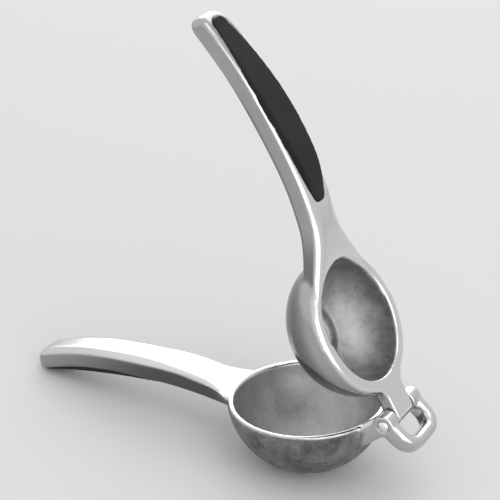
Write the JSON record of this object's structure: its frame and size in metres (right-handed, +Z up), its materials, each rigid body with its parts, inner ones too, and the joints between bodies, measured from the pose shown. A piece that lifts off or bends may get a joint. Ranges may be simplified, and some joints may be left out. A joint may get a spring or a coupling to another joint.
{
  "type": "citrus press",
  "caption": "Hand-held citrus press of hinged cast levers: a round bowl with juice holes, a pressing cup over it, arched handles with black inlaid grips and a hanging loop behind the hinge.",
  "frame": {"origin": "centre of the flat under the bowl, on the surface that the press stands on", "axes": "+Z up, +X from the bowl towards the hinge and the hanging loop, +Y along the hinge pin"},
  "size_m": [0.1999, 0.0718, 0.1969],
  "materials": {
    "cast_aluminium": "polished and tumbled die casting",
    "pin_steel": "turned, with domed ends",
    "grip_black": "matte moulded soft grip"
  },
  "bodies": {
    "lower": {"lower_half": "cast_aluminium", "lower_grip": "grip_black", "hinge_pin": "pin_steel"},
    "upper": {"upper_half": "cast_aluminium", "upper_grip": "grip_black"}
  },
  "joints": [
    {"name": "hinge", "type": "hinge", "parent": "lower", "child": "upper", "pos_m": [0.04302, 0, 0.04011], "axis": [0, 1, 0], "range_deg": [-62, 110]}
  ]
}
